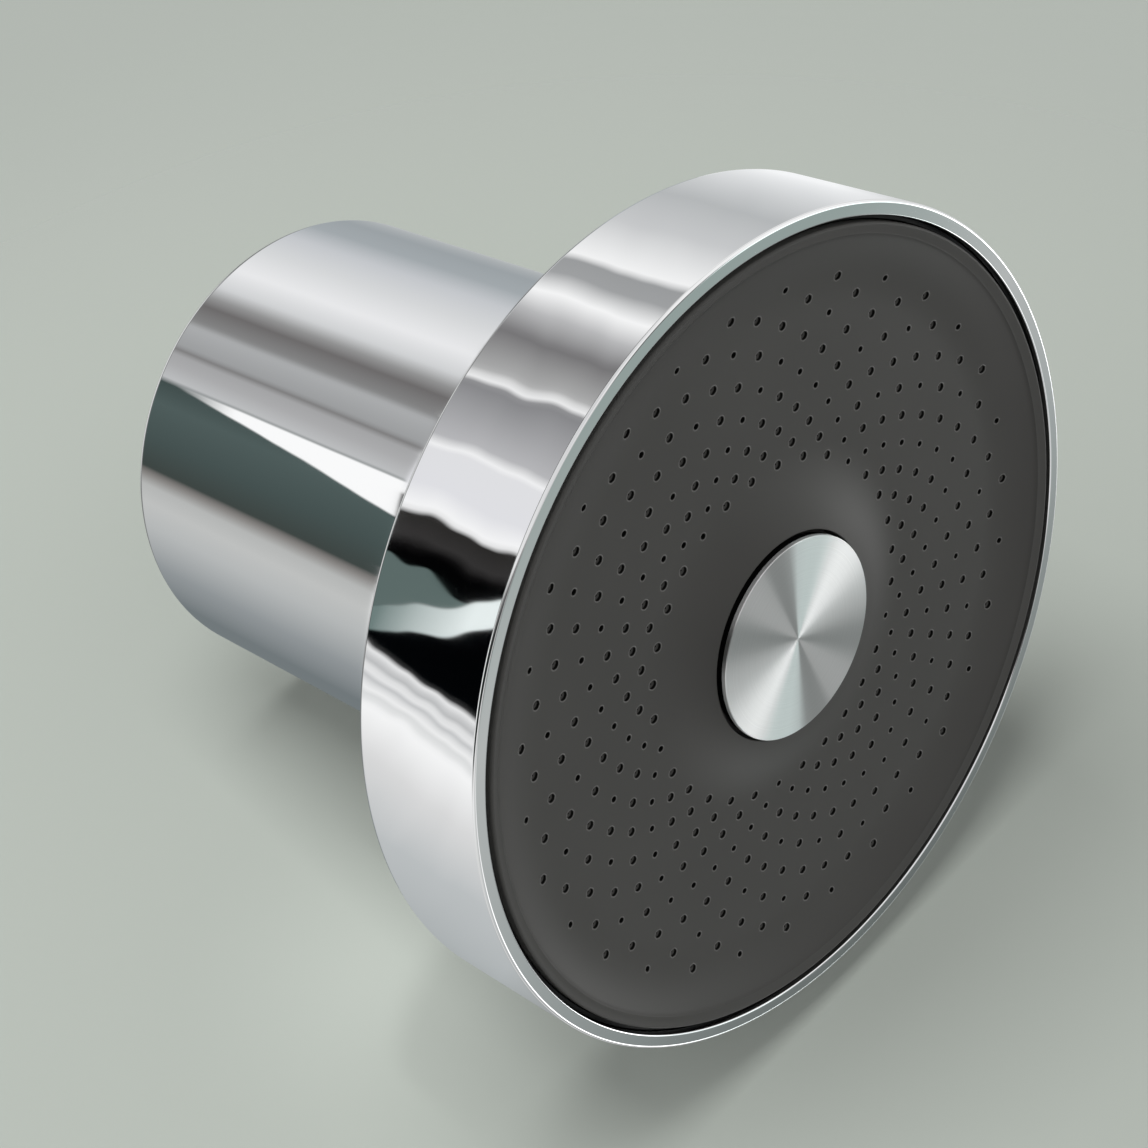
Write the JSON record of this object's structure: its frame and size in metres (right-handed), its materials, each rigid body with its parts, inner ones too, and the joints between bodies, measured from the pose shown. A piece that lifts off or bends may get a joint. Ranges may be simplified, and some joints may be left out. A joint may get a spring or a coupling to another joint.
{
  "type": "filtered shower head",
  "caption": "Round rain shower head with a dished spray face, a screw-on chrome filter housing with its cartridge, and a ball-jointed threaded inlet.",
  "frame": {"origin": "centre of the chrome rim's lowest plane, the plane that the head stands on when it rests face down", "axes": "+Z along the head's axis, from the spray face towards the pipe inlet; +X and +Y across the face"},
  "size_m": [0.127, 0.127, 0.127],
  "materials": {
    "chrome_plate": "mirror-bright chrome plate",
    "plated_brass": "chrome-plated brass, turned",
    "face_graphite": "dark grey, satin",
    "spun_aluminium": "spun with fine concentric lines",
    "black_gloss": "glossy black",
    "screw_steel": "plain stainless steel",
    "screen_steel": "stainless steel mesh",
    "seal_rubber": "black rubber",
    "seat_acetal": "natural white acetal",
    "restrictor_plastic": "green plastic",
    "white_plastic": "white plastic, satin",
    "clear_plastic": "milky plastic tube",
    "filter_felt": "pressed white felt",
    "sulfite_granules": "white granules",
    "copper_zinc_granules": "brass-coloured granules"
  },
  "bodies": {
    "head": {"head_shell": "chrome_plate", "spray_face": "face_graphite", "face_seal": "seal_rubber", "center_disc": "spun_aluminium", "disc_carrier": "black_gloss", "center_screw": "screw_steel", "back_plate": "white_plastic", "spigot_seal": "seal_rubber", "plate_screws": "screw_steel", "bottom_gasket": "seal_rubber", "cartridge_bottom_cap": "white_plastic", "cartridge_tube": "clear_plastic", "cartridge_top_cap": "white_plastic", "neck_seal": "seal_rubber", "bottom_mesh": "screen_steel", "bottom_felt": "filter_felt", "calcium_sulfite_media": "sulfite_granules", "middle_felt": "filter_felt", "copper_zinc_media": "copper_zinc_granules", "top_felt": "filter_felt", "top_mesh": "screen_steel"},
    "thread_seal": {"housing_seal": "seal_rubber"},
    "housing": {"filter_housing": "chrome_plate", "ball_nut": "plated_brass"},
    "seat": {"ball_seat": "seat_acetal", "ball_seal": "seal_rubber"},
    "inlet_coupling": {"swivel_ball": "plated_brass", "flow_restrictor": "restrictor_plastic", "inlet_screen": "screen_steel", "inlet_washer": "seal_rubber"}
  },
  "joints": [
    {"name": "housing_lift", "type": "slide", "parent": "head", "child": "thread_seal", "axis": [0, 0, 1], "range_m": [0, 0.0091]},
    {"name": "housing_turn", "type": "hinge", "parent": "thread_seal", "child": "housing", "pos_m": [0, 0, 0.0291], "axis": [0, 0, 1], "range_deg": [0, 1080]},
    {"name": "ball_spin", "type": "hinge", "parent": "housing", "child": "seat", "pos_m": [0, 0, 0.1025], "axis": [0, 0, 1], "continuous": true},
    {"name": "ball_tilt", "type": "hinge", "parent": "seat", "child": "inlet_coupling", "pos_m": [0, 0, 0.1025], "axis": [1, 0, 0], "range_deg": [-15, 15]}
  ],
  "couplings": [
    {"joint": "housing_lift", "follows": "housing_turn", "m_per_rad": 0.00047746}
  ]
}
